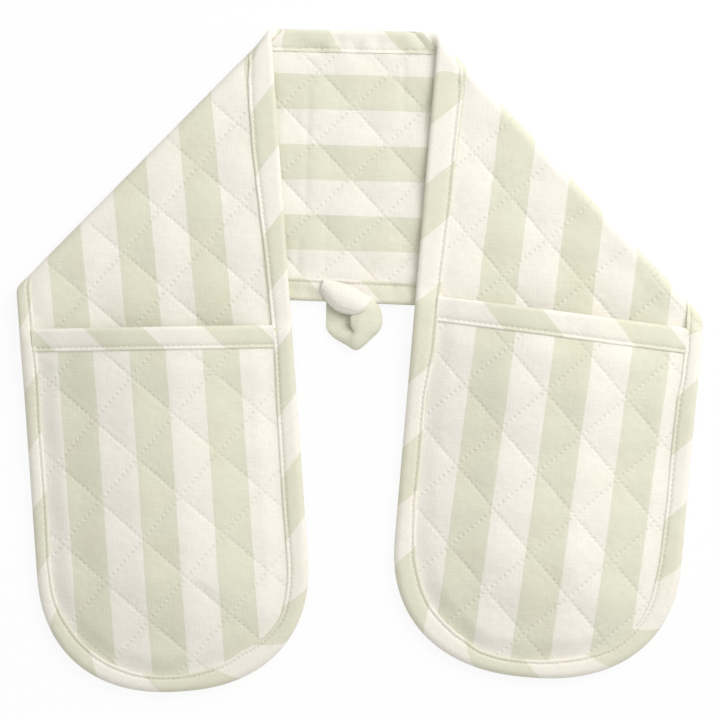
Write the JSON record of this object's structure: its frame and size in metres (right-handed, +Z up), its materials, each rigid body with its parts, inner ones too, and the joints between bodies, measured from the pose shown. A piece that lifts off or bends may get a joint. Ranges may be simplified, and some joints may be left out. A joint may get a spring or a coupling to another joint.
{
  "type": "double oven glove",
  "caption": "Long quilted striped band folded into two hanging arms, each ending in a rounded hand pocket, with bound edges and a hanging loop.",
  "frame": {"origin": "on the flat underside of the neck, below the middle of the neck where the band's middle line crosses it", "axes": "+Z up, out of the surface that the glove lies on, +X to the right along the neck, -Y down the two arms towards the hands"},
  "size_m": [0.4181, 0.4075, 0.0268],
  "materials": {
    "striped_cloth": "matt woven cotton with pale green and cream stripes",
    "binding": "the same striped cotton, cut on the bias and stitched",
    "wadding": "soft cotton wadding",
    "lining": "plain matt cotton"
  },
  "bodies": {
    "neck": {"neck_back_fabric": "striped_cloth", "neck_wadding": "wadding", "neck_face_fabric": "striped_cloth", "neck_top_binding": "binding", "neck_bottom_binding": "binding", "left_fold_outer_fabric": "striped_cloth", "left_fold_wadding": "wadding", "left_fold_inner_fabric": "striped_cloth", "left_fold_bottom_binding": "binding", "left_fold_top_binding": "binding", "right_fold_outer_fabric": "striped_cloth", "right_fold_wadding": "wadding", "right_fold_inner_fabric": "striped_cloth", "right_fold_bottom_binding": "binding", "right_fold_top_binding": "binding"},
    "left_arm": {"left_arm_back_fabric": "striped_cloth", "left_arm_wadding": "wadding", "left_arm_face_fabric": "striped_cloth", "left_arm_binding": "binding", "left_pocket_lining": "lining", "left_pocket_wadding": "wadding", "left_pocket_face_fabric": "striped_cloth", "left_pocket_mouth_binding": "binding"},
    "right_arm": {"right_arm_back_fabric": "striped_cloth", "right_arm_wadding": "wadding", "right_arm_face_fabric": "striped_cloth", "right_arm_binding": "binding", "right_pocket_lining": "lining", "right_pocket_wadding": "wadding", "right_pocket_face_fabric": "striped_cloth", "right_pocket_mouth_binding": "binding"},
    "hanging_loop": {"hanging_loop": "binding"}
  },
  "joints": [
    {"name": "left_arm_unfold", "type": "hinge", "parent": "neck", "child": "left_arm", "pos_m": [-0.1267, -0.00146, 0.00515], "axis": [-0.7034, -0.7108, 0], "range_deg": [0, 180], "deforming": ["left_fold_outer_fabric", "left_fold_wadding", "left_fold_inner_fabric", "left_fold_bottom_binding", "left_fold_top_binding"]},
    {"name": "right_arm_unfold", "type": "hinge", "parent": "neck", "child": "right_arm", "pos_m": [0.13281, -0.01272, 0.00515], "axis": [-0.6858, 0.7278, 0], "range_deg": [0, 180], "deforming": ["right_fold_outer_fabric", "right_fold_wadding", "right_fold_inner_fabric", "right_fold_bottom_binding", "right_fold_top_binding"]},
    {"name": "loop_swing", "type": "hinge", "parent": "neck", "child": "hanging_loop", "pos_m": [0.0012, -0.08415, 0.0025], "axis": [-0.9991, 0.0419, 0], "range_deg": [-90, 90]}
  ]
}
